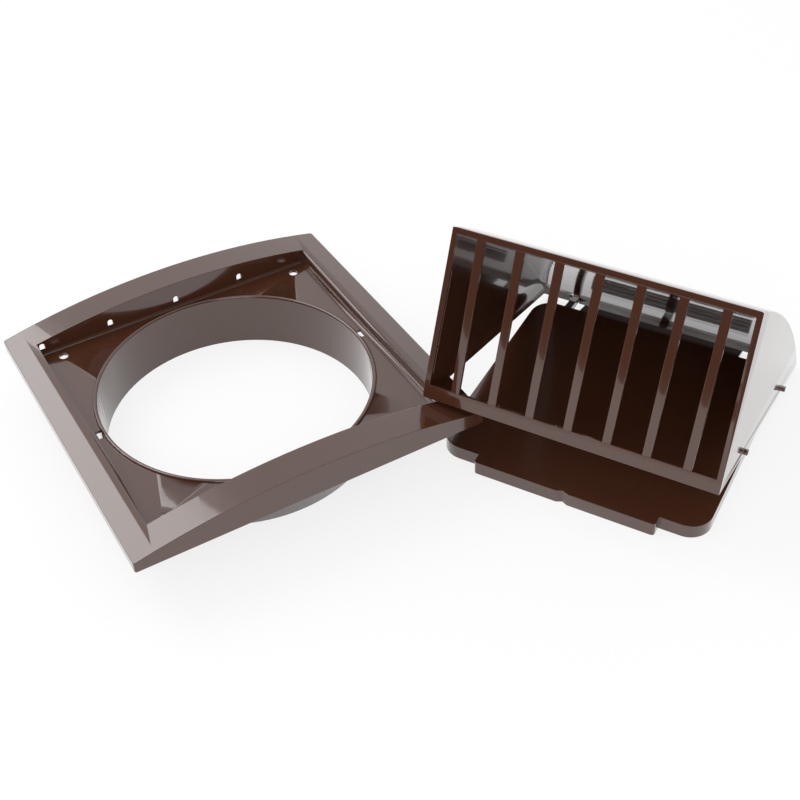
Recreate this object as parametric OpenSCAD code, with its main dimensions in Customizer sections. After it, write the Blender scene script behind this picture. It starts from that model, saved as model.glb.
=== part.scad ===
// Cowled wall vent for a 150 mm round duct, three plastic mouldings shown taken apart on a table.
// The wall plate lies on its duct spigot. The hood lies with its open back down, one cheek on the
// plate's edge. The back-draught flap hangs from the hood's rear rim and lies under the hood.
// Origin: duct axis at the open end of the spigot. X runs along the plate's arched sides, Z is up.

/* [Wall plate] */
// Length of the plate along its two arched sides
plate_w = 190.5; // [185:0.5:230]
// Length of the plate along its two straight sides
plate_h = 189; // [178:0.5:230]
// Height of the plate's outer wall at the corners
corner_t = 6; // [4:0.5:10]
// Rise of the arched face above the corners
arch_rise = 11.2; // [6:0.1:16]
// Radius of the plate's upright corners
corner_r = 1.2; // [0.4:0.1:4]
// Thickness of the plate's face and of its upright walls
plate_wall = 2; // [1.5:0.1:3]
// Thickness of the recessed base round the duct
base_t = 1.6; // [1.2:0.1:3]
// Width of the step along the foot of the recess walls
ledge_w = 1.3; // [0.6:0.1:2.5]
// Height of that step above the base
ledge_t = 0.5; // [0.3:0.1:1]

/* [Duct spigot] */
// Inner diameter of the spigot
duct_bore_d = 145; // [110:0.5:148]
// Wall thickness of the spigot
spigot_wall = 2; // [1.5:0.1:3]
// Length of the spigot below the plate's back
spigot_len = 29.1; // [20:0.1:60]
// Width of the rounded lip round the duct's mouth
lip_w = 2.4; // [1.6:0.1:4]
// Chamfer at the spigot's open end
lead_in = 0.6; // [0.2:0.1:1]

/* [Fixing holes] */
// Distance between screw holes along the arched sides
screw_pitch_x = 140.5; // [130:0.5:146]
// Distance between screw holes along the straight sides
screw_pitch_y = 140; // [130:0.5:144]
// Diameter of the screw holes
screw_d = 5; // [3.5:0.1:6]
// Distance between neighbouring peg holes in the recess walls
peg_hole_pitch = 39.4; // [30:0.1:42]
// Width of a peg hole
peg_hole_w = 3; // [2.6:0.1:5]
// Height of a peg hole with its round top
peg_hole_h = 5; // [4.5:0.1:6]
// Distance from the recess's end walls to the middle of a catch slot
catch_inset = 5.6; // [4:0.1:8]
// Length of a catch slot across the plate
catch_slot_l = 6; // [5:0.1:10]
// Width of the catch slot
catch_slot_w = 3.5; // [3:0.1:5]

/* [Hood] */
// Width of the hood at its open back
hood_w = 154.4; // [150:0.1:160]
// Length of the hood's open back
hood_len = 161.6; // [150:0.1:170]
// Depth of the hood from its open back to the top of the grille
hood_depth = 90; // [70:0.5:110]
// How far the grille leans back over its height
grille_lean_back = 9.2; // [4:0.1:14]
// Height of the upright strip under the grille and the cheeks
strip_h = 5.4; // [4:0.1:8]
// Height of the rear rim where the curved skin starts
foot_h = 3; // [2.6:0.1:5]
// Thickness of the rear rim
rim_t = 3.4; // [3.2:0.1:5]
// Bulge of the curved skin over its chord
skin_bulge = 9.2; // [6:0.1:14]
// Thickness of the hood's walls
hood_wall = 2; // [1.5:0.1:3]
// How far each cheek leans in at the top
cheek_draft = 1.6; // [0.5:0.1:3]
// Radius of the edges between the skin and the cheeks
skin_edge_r = 3; // [1:0.1:4]
// Clearance between the hood and the recess that it clips into
hood_fit = 0.5; // [0.3:0.1:1]

/* [Grille] */
// Number of grille bars
bar_count = 7; // [3:1:9]
// Distance between neighbouring bars
bar_pitch = 20.1; // [10:0.1:21]
// Width of a bar
bar_w = 4.4; // [2:0.1:6]
// Thickness of the bars and of the frame round them
grille_t = 2.2; // [1.5:0.1:3]
// Width of the grille's frame at the cheeks
frame_side = 2.7; // [2.2:0.1:6]
// Width of the grille's frame at the top
frame_top = 3.2; // [2.5:0.1:8]
// Width of the grille's frame above the strip
frame_foot = 2; // [1:0.1:6]

/* [Pegs and catch] */
// Height of a peg along the cheek
peg_w = 2.2; // [1.5:0.1:2.4]
// Thickness of a peg
peg_t = 2.4; // [1.5:0.1:3]
// Reach of a peg outside the cheek
peg_reach = 2.4; // [1.5:0.1:2.4]
// Height of the pegs' middle above the hood's back
peg_up = 3.2; // [2.4:0.1:4]
// Reach of the rear catch below the hood's back
catch_drop = 3.2; // [2:0.1:6]
// Thickness of the rear catch
catch_t = 2.4; // [1.5:0.1:3]
// Width of the rear catch
catch_w = 5; // [3:0.1:5]

/* [Flap] */
// Width of the flap
flap_w = 145.3; // [136:0.1:147]
// Length of the flap's tray
flap_len = 132.4; // [115:0.1:134]
// Height of the flap's tray
flap_h = 8; // [6:0.1:9]
// Thickness of the flap's walls
flap_wall = 2; // [1.2:0.1:3]
// Radius of the tray's corners
flap_corner_r = 12; // [4:0.5:20]
// Distance from the hinge axis to the tray's rear wall
hinge_to_tray = 16.7; // [14:0.1:20]
// Width of the stop tab at the flap's front
tab_w = 98.4; // [60:0.2:115]
// Reach of the stop tab
tab_reach = 6; // [3:0.1:6.5]
// Radius of the stop tab's corners
tab_r = 1.8; // [0.5:0.1:2.5]
// Width of the gate mark's notch in the stop tab
gate_w = 6; // [3:0.1:10]
// Depth of that notch
gate_d = 1.4; // [0.5:0.1:1.8]
// Width of the tongue at the flap's rear
tongue_w = 94.8; // [60:0.2:100]
// Reach of the tongue behind the tray
tongue_reach = 8.7; // [5:0.1:9]
// Height of the tongue's rear edge above the hinge axis
tongue_top = 3.2; // [2.6:0.1:3.4]
// Thickness of the tongue
tongue_t = 1.8; // [1.2:0.1:2.4]

/* [Hinge] */
// Diameter of the hinge rods in the hood's rim
rod_d = 2; // [1.6:0.1:2.2]
// Distance of the hinge axis from the hood's rear edge
hinge_in = 1.7; // [1.5:0.05:2]
// Height of the hinge axis above the hood's back and above the flap's rim
hinge_up = 2.4; // [2.2:0.05:3]
// Running clearance between a rod and its eye
hinge_gap = 0.08; // [0.05:0.01:0.1]
// Wall thickness of a hinge eye
eye_wall = 1; // [0.8:0.1:1.2]
// Distance between the flap's two arms
arm_spacing = 111.6; // [104:0.1:125]
// Width of an arm
arm_w = 4; // [3:0.1:6]
// Side play of an arm in its notch
arm_play = 0.9; // [0.7:0.1:1.5]
// Height of a notch above the hood's back
notch_h = 6.6; // [6:0.1:8]

/* [Layout on the table] */
// Turn of the hood on the table
hood_turn = -58.8; // [-70:0.1:-50]
// Distance from the hood's front to where its cheek rests on the plate's edge
rest_back = 28.8; // [24:0.1:36]
// Place of that resting point along the plate's straight side
rest_y = -59.6; // [-66:0.1:-50]
// Gap left at the resting point
rest_gap = 0.05; // [0.02:0.01:0.1]
// How far the flap has slid sideways in its notches
flap_slide = 0.6; // [0:0.1:0.6]

/* [Hidden] */
$fn = 96;
fine = 720;
eps = 0.01;
cut = 5;
plastic = "#4b2d20";

// Recess that takes the hood
recess_w = hood_len + 2 * hood_fit;
recess_h = hood_w + 2 * hood_fit;
arch_r = (pow(plate_w / 2, 2) + pow(arch_rise, 2)) / (2 * arch_rise);
arch_top = spigot_len + corner_t + arch_rise;
base_top = spigot_len + base_t;
duct_r = duct_bore_d / 2;
catch_x = recess_w / 2 - catch_inset;
peg_hole_z = base_top + peg_up - peg_t / 2 - hood_fit / 2;

// Curved skin: an arc from the top of the rear rim to the top of the grille
grille_top_v = hood_len - grille_lean_back;
skin_rise = hood_depth - foot_h;
skin_chord = norm([grille_top_v, skin_rise]);
skin_r = (pow(skin_chord / 2, 2) + pow(skin_bulge, 2)) / (2 * skin_bulge);
skin_slope = atan2(skin_rise, grille_top_v);
skin_mid_v = grille_top_v / 2 + (skin_r - skin_bulge) * sin(skin_slope);
skin_mid_w = foot_h + skin_rise / 2 - (skin_r - skin_bulge) * cos(skin_slope);

// Grille plane
grille_lean = atan2(grille_lean_back, hood_depth - strip_h);
grille_len = norm([grille_lean_back, hood_depth - strip_h]);
window_h = grille_len - frame_foot - frame_top;

// Rear catch: its back face stands where the catch slot in the base ends
catch_v = catch_inset - hood_fit - catch_t / 2;

// Tilt of the hood on its catch and its cheek
crease_z = spigot_len + corner_t + rest_gap;
rest_run = hood_len - rest_back - (catch_v - catch_t / 2);
hood_tilt = asin(crease_z / norm([rest_run, catch_drop])) - atan2(catch_drop, rest_run);
hinge_z = crease_z - (hood_len - rest_back - hinge_in) * sin(hood_tilt) + hinge_up * cos(hood_tilt);

// Tilt of the flap, from its eyes down to the front edge that touches the table
flap_front = hinge_to_tray + flap_len + tab_reach;
flap_tilt = asin(hinge_z / norm([flap_front, hinge_up])) - atan2(hinge_up, flap_front);
flap_top = flap_h - hinge_up;
eye_r = rod_d / 2 + hinge_gap;
eye_out = eye_r + eye_wall;

module rounded_block(w, l, h, r) {
  linear_extrude(h)
    rounded_square(w, l, r);
}

module rounded_square(w, l, r) {
  square([w - 2 * r, l], center = true);
  square([w, l - 2 * r], center = true);
  for (x = [-1, 1], y = [-1, 1])
    translate([x * (w / 2 - r), y * (l / 2 - r)]) circle(r);
}

// Everything under an arch of radius r whose highest line is at height top
module arch(r, top) {
  translate([0, 0, top - r])
    rotate([90, 0, 0])
      cylinder(r = r, h = plate_h + 2 * cut, center = true, $fn = fine);
}

module plate_shell() {
  difference() {
    intersection() {
      translate([0, 0, spigot_len]) rounded_block(plate_w, plate_h, corner_t + arch_rise, corner_r);
      arch(arch_r, arch_top);
    }
    difference() {
      intersection() {
        translate([0, 0, spigot_len - cut])
          linear_extrude(cut + corner_t + arch_rise)
            square([plate_w - 2 * plate_wall, plate_h - 2 * plate_wall], center = true);
        arch(arch_r - plate_wall, arch_top - plate_wall);
      }
      translate([0, 0, spigot_len - 2 * cut])
        linear_extrude(4 * cut + arch_top)
          square([recess_w + 2 * plate_wall, recess_h + 2 * plate_wall], center = true);
    }
  }
}

module recess() {
  translate([0, 0, base_top + ledge_t])
    linear_extrude(arch_top)
      square([recess_w, recess_h], center = true);
  translate([0, 0, base_top])
    linear_extrude(arch_top)
      square([recess_w - 2 * ledge_w, recess_h - 2 * ledge_w], center = true);
}

module duct_lip() {
  translate([0, 0, base_top])
    rotate_extrude($fn = fine / 2)
      intersection() {
        translate([duct_r + lip_w / 2, 0]) circle(lip_w / 2);
        translate([duct_r, 0]) square(lip_w);
      }
}

module spigot() {
  cylinder(r1 = duct_r + spigot_wall - lead_in, r2 = duct_r + spigot_wall, h = lead_in, $fn = fine / 2);
  translate([0, 0, lead_in])
    cylinder(r = duct_r + spigot_wall, h = base_top - lead_in, $fn = fine / 2);
}

// Upright hole with a round top through both long recess walls
module peg_hole() {
  rotate([90, 0, 0])
    linear_extrude(recess_h + 2 * plate_wall + 2 * eps, center = true) {
      translate([-peg_hole_w / 2, 0]) square([peg_hole_w, peg_hole_h - peg_hole_w / 2]);
      translate([0, peg_hole_h - peg_hole_w / 2]) circle(peg_hole_w / 2, $fn = 24);
    }
}

module wall_plate() color(plastic) {
  difference() {
    union() {
      difference() {
        plate_shell();
        recess();
      }
      spigot();
      duct_lip();
    }
    translate([0, 0, -cut]) cylinder(r = duct_r, h = arch_top, $fn = fine / 2);
    for (x = [-1, 1], y = [-1, 1])
      translate([x * screw_pitch_x / 2, y * screw_pitch_y / 2, spigot_len - cut])
        cylinder(d = screw_d, h = 2 * cut);
    for (x = [-2:1])
      translate([x * peg_hole_pitch, 0, peg_hole_z]) peg_hole();
    for (x = [-1, 1])
      translate([x * catch_x, 0, spigot_len])
        cube([catch_slot_w, catch_slot_l, 2 * cut], center = true);
  }
}

// Half width of the hood at height w above its back, shrunk by inset
function half_w(w, inset) =
  hood_w / 2 - inset - cheek_draft * max(0, w - strip_h) / (hood_depth - strip_h);

// The hood's outline seen from the front, run through its whole length
module cheeks(inset) {
  translate([0, cut, 0])
    rotate([90, 0, 0])
      linear_extrude(hood_len + 2 * cut)
        polygon([
          for (side = [-1, 1], w = side < 0 ? [-cut, strip_h, hood_depth + cut]
                                            : [hood_depth + cut, strip_h, -cut])
            [side * half_w(w, inset), w]
        ]);
}

// The big drum whose surface is the curved skin, with rounded rims
module skin_drum(r, edge_r) {
  translate([0, -skin_mid_v, skin_mid_w])
    rotate([0, 90, 0])
      rotate_extrude($fn = fine) {
        translate([0, -hood_w / 2 + edge_r]) square([r, hood_w - 2 * edge_r]);
        if (edge_r > 0) {
          translate([0, -hood_w / 2]) square([r - edge_r, hood_w]);
          for (side = [-1, 1])
            translate([r - edge_r, side * (hood_w / 2 - edge_r)]) circle(edge_r, $fn = 48);
        }
      }
}

// The hood's outline seen from the side, from the rear edge to the grille
module side_block(points) {
  rotate([90, 0, -90])
    linear_extrude(hood_w + 2 * cut, center = true)
      polygon(points);
}

module hood_outside() {
  intersection() {
    side_block([
      [0, 0], [0, hood_depth], [grille_top_v, hood_depth], [hood_len, strip_h], [hood_len, 0]
    ]);
    cheeks(0);
    skin_drum(skin_r, skin_edge_r);
  }
}

module hood_inside() {
  face_t = grille_t / cos(grille_lean);
  intersection() {
    side_block([
      [rim_t, -cut], [rim_t, hood_depth], [grille_top_v - face_t, hood_depth],
      [hood_len - face_t, strip_h], [hood_len - hood_wall, strip_h], [hood_len - hood_wall, -cut]
    ]);
    cheeks(hood_wall);
    skin_drum(skin_r - hood_wall, 0);
  }
}

module at_grille() {
  translate([0, -hood_len, strip_h]) rotate([-grille_lean, 0, 0]) children();
}

module grille_window() {
  foot = half_w(strip_h, frame_side);
  head = half_w(hood_depth, frame_side);
  at_grille()
    translate([0, grille_t + cut, frame_foot])
      rotate([90, 0, 0])
        linear_extrude(grille_t + 2 * cut)
          polygon([[-foot, 0], [foot, 0], [head, window_h], [-head, window_h]]);
}

module grille_bars() {
  at_grille()
    for (i = [0:bar_count - 1])
      translate([(i - (bar_count - 1) / 2) * bar_pitch - bar_w / 2, 0, frame_foot - eps])
        cube([bar_w, grille_t, window_h + 2 * eps]);
}

module pegs() {
  for (side = [-1, 1], v = [-1, 1])
    translate([side * (hood_w / 2 + (peg_reach - hood_wall) / 2),
               -hood_len / 2 + v * peg_hole_pitch, peg_up])
      cube([peg_reach + hood_wall, peg_w, peg_t], center = true);
}

module rear_catch() {
  translate([-catch_w / 2, -catch_v - catch_t / 2, -catch_drop])
    cube([catch_w, catch_t, catch_drop + foot_h]);
}

module arm_places() {
  for (side = [-1, 1]) translate([side * arm_spacing / 2, 0, 0]) children();
}

module hinge_notches() {
  arm_places()
    translate([-arm_w / 2 - arm_play, -hinge_in - cut, -cut])
      cube([arm_w + 2 * arm_play, hinge_in + 2 * cut, cut + notch_h]);
}

module hinge_rods() {
  arm_places()
    translate([0, -hinge_in, hinge_up])
      rotate([0, 90, 0])
        cylinder(d = rod_d, h = arm_w + 2 * arm_play + 2 * hood_wall, center = true, $fn = 48);
}

module hood() color(plastic) on_plate() {
  difference() {
    hood_outside();
    hood_inside();
    grille_window();
    hinge_notches();
  }
  grille_bars();
  pegs();
  rear_catch();
  hinge_rods();
}

// Lays the hood on its rear catch, with one cheek on the crease of the plate's edge
module on_plate() {
  translate([plate_w / 2, rest_y, crease_z])
    rotate([0, 0, hood_turn])
      rotate([-hood_tilt, 0, 0])
        translate([hood_w / 2, hood_len - rest_back, 0])
          children();
}

// Outline of the tray with its stop tab, each shrunk by inset
module tray_outline(inset) {
  translate([0, -hinge_to_tray - flap_len / 2])
    rounded_square(flap_w - 2 * inset, flap_len - 2 * inset, flap_corner_r - inset);
  translate([0, -flap_front + tab_reach])
    rounded_square(tab_w - 2 * inset, 2 * tab_reach - 2 * inset, max(tab_r - inset, 0.2));
}

module gate_notch() {
  translate([0, -flap_front, -hinge_up - cut])
    linear_extrude(flap_h + 2 * cut)
      polygon([[-gate_w / 2, -eps], [gate_w / 2, -eps], [0, gate_d]]);
}

module tongue() {
  back = -hinge_to_tray + tongue_reach;
  rotate([90, 0, 90])
    linear_extrude(tongue_w, center = true)
      polygon([
        [-hinge_to_tray - flap_wall / 2, flap_top], [-hinge_to_tray, flap_top],
        [back, tongue_top], [back, tongue_top - tongue_t],
        [-hinge_to_tray - flap_wall / 2, flap_top - tongue_t]
      ]);
}

module arm() {
  rotate([90, 0, 90])
    linear_extrude(arm_w, center = true)
      difference() {
        union() {
          circle(eye_out, $fn = 48);
          polygon([
            [-hinge_to_tray - flap_wall / 2, -eye_r], [-eye_r, -eye_r - eye_wall / 2],
            [-eye_r, eye_r + eye_wall / 2], [-hinge_to_tray - flap_wall / 2, flap_top - tongue_t]
          ]);
        }
        circle(eye_r, $fn = 48);
        polygon([[0, 0], [-eye_r / 3, 2 * eye_out], [2 * eye_out, 2 * eye_out], [2 * eye_out, -eye_r]]);
      }
}

module flap() color(plastic) on_plate()
  translate([flap_slide, -hinge_in, hinge_up])
    rotate([hood_tilt + flap_tilt, 0, 0]) {
      difference() {
        translate([0, 0, -hinge_up]) linear_extrude(flap_h) tray_outline(0);
        translate([0, 0, -hinge_up - flap_wall]) linear_extrude(flap_h) tray_outline(flap_wall);
        gate_notch();
      }
      tongue();
      arm_places() arm();
    }

wall_plate();
hood();
flap();
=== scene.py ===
# Brown plastic wall vent taken apart on a white table: wall plate, barred hood and back-draught flap.
import math
import bmesh
import bpy
from mathutils import Matrix, Vector


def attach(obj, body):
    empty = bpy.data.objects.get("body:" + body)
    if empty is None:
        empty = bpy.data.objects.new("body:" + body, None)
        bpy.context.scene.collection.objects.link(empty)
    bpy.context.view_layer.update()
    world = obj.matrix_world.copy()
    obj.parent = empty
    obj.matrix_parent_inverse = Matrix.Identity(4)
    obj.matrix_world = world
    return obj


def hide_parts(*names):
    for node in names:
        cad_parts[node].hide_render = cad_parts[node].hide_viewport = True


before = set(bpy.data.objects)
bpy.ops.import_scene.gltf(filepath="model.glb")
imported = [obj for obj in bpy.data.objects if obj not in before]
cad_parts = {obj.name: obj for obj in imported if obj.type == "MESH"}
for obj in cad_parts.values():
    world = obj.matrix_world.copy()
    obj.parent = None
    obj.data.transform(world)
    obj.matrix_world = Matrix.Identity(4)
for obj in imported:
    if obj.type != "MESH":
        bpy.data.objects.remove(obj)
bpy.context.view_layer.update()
scene = bpy.context.scene
mm = 0.001
print("frame loaded:", ", ".join(sorted(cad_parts)))


# sRGB hex to the linear colour that shader sockets take
def linearColor(hexText):
    parts = [int(hexText[i:i + 2], 16) / 255 for i in (1, 3, 5)]
    return [c / 12.92 if c <= 0.04045 else ((c + 0.055) / 1.055) ** 2.4 for c in parts] + [1.0]


# one node with its settings, socket values and incoming links
def addNode(tree, kind, settings=None, values=None, links=None):
    node = tree.nodes.new(kind)
    for name, value in (settings or {}).items():
        setattr(node, name, value)
    for name, value in (values or {}).items():
        node.inputs[name].default_value = value
    for name, source in (links or {}).items():
        tree.links.new(source, node.inputs[name])
    return node


photoCamera = {
    "place": (-178.77, -497.27, 481.99),  # mm
    "heading": (0.48818, 0.87275),
    "pitchDown": 41.945,  # degrees
    "roll": -2.096,
    "lens": 58.58,  # mm
    "sensor": 36.0,
    "near": 0.01,  # metres
    "far": 50.0,
}


def makeCamera(v):
    data = bpy.data.cameras.new("photoCamera")
    data.lens = v["lens"]
    data.sensor_width = v["sensor"]
    data.clip_start = v["near"]
    data.clip_end = v["far"]
    obj = bpy.data.objects.new("photoCamera", data)
    scene.collection.objects.link(obj)
    ahead = Vector((*v["heading"], 0)).normalized()
    pitch, roll = math.radians(v["pitchDown"]), math.radians(v["roll"])
    forward = ahead * math.cos(pitch) - Vector((0, 0, math.sin(pitch)))
    right = ahead.cross(Vector((0, 0, 1))).normalized()
    up = right.cross(forward).normalized()
    rolledRight = right * math.cos(roll) + up * math.sin(roll)
    rolledUp = up * math.cos(roll) - right * math.sin(roll)
    turn = Matrix((rolledRight, rolledUp, -forward)).transposed().to_4x4()
    obj.matrix_world = Matrix.Translation(Vector(v["place"]) * mm) @ turn
    scene.camera = obj


makeCamera(photoCamera)
print("camera made")

# Injection-moulded ABS from a polished tool: dark brown all through, with a clear, mirror-like skin
glossPlastic = {
    "colour": "#4a2b1d",
    "flowColour": "#432619",
    "ior": 1.53,
    "roughness": (0.13, 0.2),
    "coat": 0.85,
    "coatRoughness": 0.03,
    "flowSize": 45.0,  # mm, cloudy flow of the melt
    "flowDetail": 3.0,
    "rippleSize": 18.0,  # mm, faint sink ripples over the walls
    "rippleDetail": 1.0,
    "rippleDepth": 0.02,  # mm
    "edgeRound": 0.45,  # mm, the small round that a mould leaves on each edge
    "edgeSamples": 6,
}


def cloudNoise(tree, place, size, detail):
    return addNode(tree, "ShaderNodeTexNoise", values={"Scale": 1 / (size * mm), "Detail": detail},
                   links={"Vector": place.outputs["Vector"]})


def glossMoulding(name, v, seed):
    mat = bpy.data.materials.new(name)
    mat.use_nodes = True
    tree = mat.node_tree
    tree.nodes.clear()
    place = addNode(tree, "ShaderNodeTexCoord")
    shift = addNode(tree, "ShaderNodeMapping", values={"Location": (seed, 2 * seed, 0)},
                    links={"Vector": place.outputs["Object"]})
    flow = cloudNoise(tree, shift, v["flowSize"], v["flowDetail"])
    ripple = cloudNoise(tree, shift, v["rippleSize"], v["rippleDetail"])
    colours = {6: linearColor(v["flowColour"]), 7: linearColor(v["colour"])}
    colour = addNode(tree, "ShaderNodeMix", {"data_type": "RGBA"}, colours, {0: flow.outputs["Fac"]})
    low, high = v["roughness"]
    dull = addNode(tree, "ShaderNodeMapRange", values={"To Min": low, "To Max": high},
                   links={"Value": flow.outputs["Fac"]})
    rounded = addNode(tree, "ShaderNodeBevel", {"samples": v["edgeSamples"]},
                      {"Radius": v["edgeRound"] * mm})
    bump = addNode(tree, "ShaderNodeBump",
                   values={"Strength": 1.0, "Distance": v["rippleDepth"] * mm},
                   links={"Height": ripple.outputs["Fac"], "Normal": rounded.outputs["Normal"]})
    shader = addNode(tree, "ShaderNodeBsdfPrincipled", values={
        "IOR": v["ior"], "Coat Weight": v["coat"], "Coat Roughness": v["coatRoughness"],
    }, links={"Base Color": colour.outputs[2], "Roughness": dull.outputs["Result"],
              "Normal": bump.outputs["Normal"], "Coat Normal": bump.outputs["Normal"]})
    addNode(tree, "ShaderNodeOutputMaterial", links={"Surface": shader.outputs["BSDF"]})
    return mat


plateMaterial = glossMoulding("glossMouldingPlate", glossPlastic, 0.0)
hoodMaterial = glossMoulding("glossMouldingHood", glossPlastic, 0.4)
flapMaterial = glossMoulding("glossMouldingFlap", glossPlastic, 0.9)
print("materials made")

# where the hood lies, and its grille, in mm and degrees
hoodPlace = {
    "rest": (95.25, -59.6, 35.15),
    "turn": -58.8,
    "tilt": 14.260936,
    "shift": (77.2, 132.8, 0.0),
}
grille = {
    "count": 7,
    "pitch": 20.1,
    "barWidth": 4.4,
    "depth": 2.2,
    "frontEdge": 161.6,  # from the hood's rear edge
    "stripHeight": 5.4,
    "leanBack": 9.2,
    "hoodDepth": 90.0,
    "frameFoot": 2.0,
    "frameTop": 3.2,
    "footHalf": 74.5,
    "headHalf": 72.9,
    "sunk": 0.3,  # how far the bars' ends run into the frame
    "edge": 0.3,  # the round along each bar's edges
    "edgeSegments": 3,
    "hair": 0.02,  # keeps the block and the bars clear of the shell's own faces
    "blockReach": 1.0,  # how far the block stands out of the window on both sides
}
weldGap = 0.002  # mm, points nearer than this become one
creaseAngle = 20  # degrees, from which an edge of a moulding is drawn sharp


def grilleMatrix(p, g):
    lean = math.atan2(g["leanBack"], g["hoodDepth"] - g["stripHeight"])
    place = (Matrix.Translation(Vector(p["rest"]))
             @ Matrix.Rotation(math.radians(p["turn"]), 4, "Z")
             @ Matrix.Rotation(math.radians(-p["tilt"]), 4, "X")
             @ Matrix.Translation(Vector(p["shift"]))
             @ Matrix.Translation(Vector((0, -g["frontEdge"], g["stripHeight"])))
             @ Matrix.Rotation(-lean, 4, "X"))
    return Matrix.Scale(mm, 4) @ place


def windowHeight(g):
    front = math.hypot(g["leanBack"], g["hoodDepth"] - g["stripHeight"])
    return front - g["frameFoot"] - g["frameTop"]


def plainMesh(obj):
    graph = bpy.context.evaluated_depsgraph_get()
    done = bpy.data.meshes.new_from_object(obj.evaluated_get(graph))
    obj.modifiers.clear()
    obj.data = done
    return done


def shadeSmooth(mesh):
    for polygon in mesh.polygons:
        polygon.use_smooth = True
    mesh.set_sharp_from_angle(angle=math.radians(creaseAngle))


# a block a hair smaller than the grille's window, which frees the hood's shell of its bars
def windowBlock(g):
    hair, reach = g["hair"], g["blockReach"]
    foot, head = g["footHalf"] - hair, g["headHalf"] - hair
    low, high = g["frameFoot"] + hair, g["frameFoot"] + windowHeight(g) - hair
    corners = [(-foot, low), (foot, low), (head, high), (-head, high)]
    points = [(x, y, z) for y in (-reach, g["depth"] + reach) for x, z in corners]
    faces = [(0, 1, 2, 3), (7, 6, 5, 4), (0, 4, 5, 1), (1, 5, 6, 2), (2, 6, 7, 3), (3, 7, 4, 0)]
    mesh = bpy.data.meshes.new("windowBlock")
    mesh.from_pydata(points, [], faces)
    mesh.transform(grilleMatrix(hoodPlace, g))
    obj = bpy.data.objects.new("windowBlock", mesh)
    scene.collection.objects.link(obj)
    return obj


def mouldedCopy(nodeName, name, body, mat, cutter=None):
    bm = bmesh.new()
    bm.from_mesh(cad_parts[nodeName].data)
    bmesh.ops.remove_doubles(bm, verts=bm.verts, dist=weldGap * mm)
    mesh = bpy.data.meshes.new(name)
    bm.to_mesh(mesh)
    bm.free()
    mesh.materials.clear()
    mesh.materials.append(mat)
    obj = bpy.data.objects.new(name, mesh)
    scene.collection.objects.link(obj)
    if cutter:
        cut = obj.modifiers.new("window", "BOOLEAN")
        cut.operation = "DIFFERENCE"
        cut.solver = "EXACT"
        cut.object = cutter
    done = plainMesh(obj)
    shadeSmooth(done)
    if cutter:
        bpy.data.objects.remove(cutter)
    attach(obj, body)
    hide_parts(nodeName)
    print(name, "made,", len(done.polygons), "faces")


# the grille's row of bars, from a tree that sets equal bars along a line
def barTree(mat):
    tree = bpy.data.node_groups.new("grilleBars", "GeometryNodeTree")
    kinds = {"Count": "NodeSocketInt", "Pitch": "NodeSocketFloat", "Bar Size": "NodeSocketVector",
             "Start": "NodeSocketVector", "Material": "NodeSocketMaterial"}
    sockets = {label: tree.interface.new_socket(label, in_out="INPUT", socket_type=kind).identifier
               for label, kind in kinds.items()}
    tree.interface.new_socket("Bars", in_out="OUTPUT", socket_type="NodeSocketGeometry")
    given = addNode(tree, "NodeGroupInput")
    step = addNode(tree, "ShaderNodeCombineXYZ", links={"X": given.outputs["Pitch"]})
    row = addNode(tree, "GeometryNodeMeshLine", {"mode": "OFFSET"}, links={
        "Count": given.outputs["Count"], "Start Location": given.outputs["Start"],
        "Offset": step.outputs[0]})
    bar = addNode(tree, "GeometryNodeMeshCube", links={"Size": given.outputs["Bar Size"]})
    copies = addNode(tree, "GeometryNodeInstanceOnPoints", links={
        "Points": row.outputs["Mesh"], "Instance": bar.outputs["Mesh"]})
    real = addNode(tree, "GeometryNodeRealizeInstances",
                   links={"Geometry": copies.outputs["Instances"]})
    finish = addNode(tree, "GeometryNodeSetMaterial", links={
        "Geometry": real.outputs["Geometry"], "Material": given.outputs["Material"]})
    addNode(tree, "NodeGroupOutput", links={"Bars": finish.outputs["Geometry"]})
    return tree, sockets


def makeBars(g, mat):
    mesh = bpy.data.meshes.new("grilleBars")
    obj = bpy.data.objects.new("grilleBars", mesh)
    scene.collection.objects.link(obj)
    tree, sockets = barTree(mat)
    modifier = obj.modifiers.new("bars", "NODES")
    modifier.node_group = tree
    height = windowHeight(g)
    values = {
        "Count": g["count"],
        "Pitch": g["pitch"],
        "Bar Size": (g["barWidth"], g["depth"] - 2 * g["hair"], height + 2 * g["sunk"]),
        "Start": (-(g["count"] - 1) / 2 * g["pitch"], g["depth"] / 2, g["frameFoot"] + height / 2),
        "Material": mat,
    }
    for label, value in values.items():
        modifier[sockets[label]] = value
    plainMesh(obj)
    bevel = obj.modifiers.new("edges", "BEVEL")  # the tree works in mm, and so does this round
    bevel.width = g["edge"]
    bevel.segments = g["edgeSegments"]
    plainMesh(obj)
    shadeSmooth(obj.data)
    obj.data.transform(grilleMatrix(hoodPlace, g))
    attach(obj, "vent")
    print("grilleBars made,", len(obj.data.polygons), "faces")


mouldedCopy("wall_plate", "wallPlate", "vent", plateMaterial)
mouldedCopy("hood", "hoodShell", "vent", hoodMaterial, windowBlock(grille))
makeBars(grille, hoodMaterial)
mouldedCopy("flap", "backDraughtFlap", "flap", flapMaterial)

# white table that ends about a metre in front, a white room behind it and a dim one in front
studio = {
    "tableLow": (-0.95, -1.1),  # metres
    "tableHigh": (3.0, 3.0),
    "tableColour": "#f2f2f2",
    "tableGlow": 0.8,
    "lightStrength": 0.85,
    "dimRoom": 0.03,
    "roomUp": 0.75,  # how far the bright side leans up to the ceiling
    "roomFrom": -0.05,  # where the dim side begins to brighten
    "roomTo": 0.35,  # and where it is fully bright
    "lampTarget": (0.08, -0.05, 0.04),
}


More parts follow.
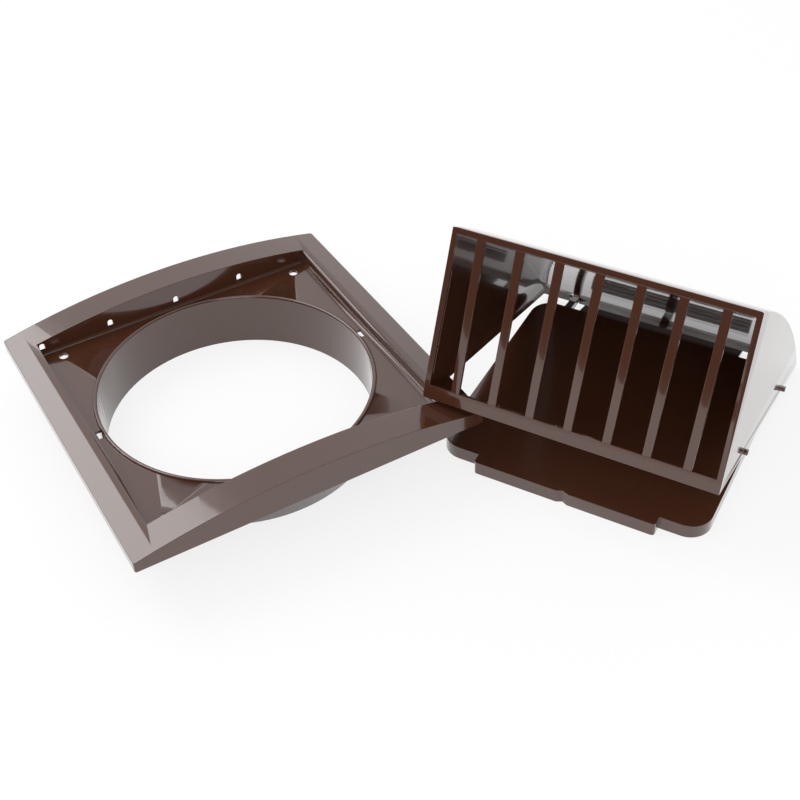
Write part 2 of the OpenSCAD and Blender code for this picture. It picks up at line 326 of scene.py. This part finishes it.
# 1 for camera, mirror and see-through rays, so that a surface's glow doesn't light the vent
def directOnly(tree, rays):
    either = addNode(tree, "ShaderNodeMath", {"operation": "MAXIMUM"},
                     links={0: rays.outputs["Is Camera Ray"], 1: rays.outputs["Is Glossy Ray"]})
    return addNode(tree, "ShaderNodeMath", {"operation": "MAXIMUM"},
                   links={0: either.outputs[0], 1: rays.outputs["Is Transmission Ray"]})


def makeTable(v):
    (x0, y0), (x1, y1) = v["tableLow"], v["tableHigh"]
    mesh = bpy.data.meshes.new("table")
    mesh.from_pydata([(x0, y0, 0), (x1, y0, 0), (x1, y1, 0), (x0, y1, 0)], [], [(0, 1, 2, 3)])
    obj = bpy.data.objects.new("table", mesh)
    scene.collection.objects.link(obj)
    mat = bpy.data.materials.new("whiteTable")
    mat.use_nodes = True
    tree = mat.node_tree
    tree.nodes.clear()
    seen = directOnly(tree, addNode(tree, "ShaderNodeLightPath"))
    matt = addNode(tree, "ShaderNodeBsdfDiffuse", values={"Color": linearColor(v["tableColour"])})
    glow = addNode(tree, "ShaderNodeEmission", values={"Strength": 1.0})
    share = addNode(tree, "ShaderNodeMath", {"operation": "MULTIPLY"}, {1: v["tableGlow"]},
                    {0: seen.outputs[0]})
    mix = addNode(tree, "ShaderNodeMixShader",
                  links={0: share.outputs[0], 1: matt.outputs[0], 2: glow.outputs[0]})
    addNode(tree, "ShaderNodeOutputMaterial", links={"Surface": mix.outputs[0]})
    mesh.materials.append(mat)


def makeWorld(v):
    world = bpy.data.worlds.new("studio")
    scene.world = world
    world.use_nodes = True
    tree = world.node_tree
    tree.nodes.clear()
    rays = addNode(tree, "ShaderNodeLightPath")
    seen = directOnly(tree, rays)
    way = addNode(tree, "ShaderNodeTexCoord")
    side = addNode(tree, "ShaderNodeVectorMath", {"operation": "DOT_PRODUCT"},
                   {1: (*photoCamera["heading"], v["roomUp"])}, {0: way.outputs["Generated"]})
    room = addNode(tree, "ShaderNodeMapRange", {"interpolation_type": "SMOOTHSTEP"},
                   {"From Min": v["roomFrom"], "From Max": v["roomTo"],
                    "To Min": v["dimRoom"], "To Max": 1.0},
                   {"Value": side.outputs["Value"]})
    shown = addNode(tree, "ShaderNodeMath", {"operation": "MAXIMUM"},
                    links={0: room.outputs[0], 1: rays.outputs["Is Camera Ray"]})
    white = addNode(tree, "ShaderNodeBackground", links={"Strength": shown.outputs[0]})
    soft = addNode(tree, "ShaderNodeBackground", values={"Strength": v["lightStrength"]})
    for node in (white, soft):
        node.inputs["Color"].default_value = linearColor("#ffffff")
    mix = addNode(tree, "ShaderNodeMixShader",
                  links={0: seen.outputs[0], 1: soft.outputs[0], 2: white.outputs[0]})
    addNode(tree, "ShaderNodeOutputWorld", links={"Surface": mix.outputs[0]})


lamps = {
    "keyLamp": {"place": (-0.5, 0.9, 1.3), "size": 1.0, "power": 9.0},
    "fillLamp": {"place": (-0.7, -1.2, 1.2), "size": 0.8, "power": 7.0},
}


def makeLamps(group, target):
    for name, v in group.items():
        data = bpy.data.lights.new(name, "AREA")
        data.size = v["size"]
        data.energy = v["power"]
        obj = bpy.data.objects.new(name, data)
        scene.collection.objects.link(obj)
        obj.location = v["place"]
        aim = Vector(target) - Vector(v["place"])
        obj.rotation_euler = aim.to_track_quat("-Z", "Y").to_euler()


makeTable(studio)
makeWorld(studio)
makeLamps(lamps, studio["lampTarget"])
scene.view_settings.view_transform = "Standard"
print("table, world and lamps made")
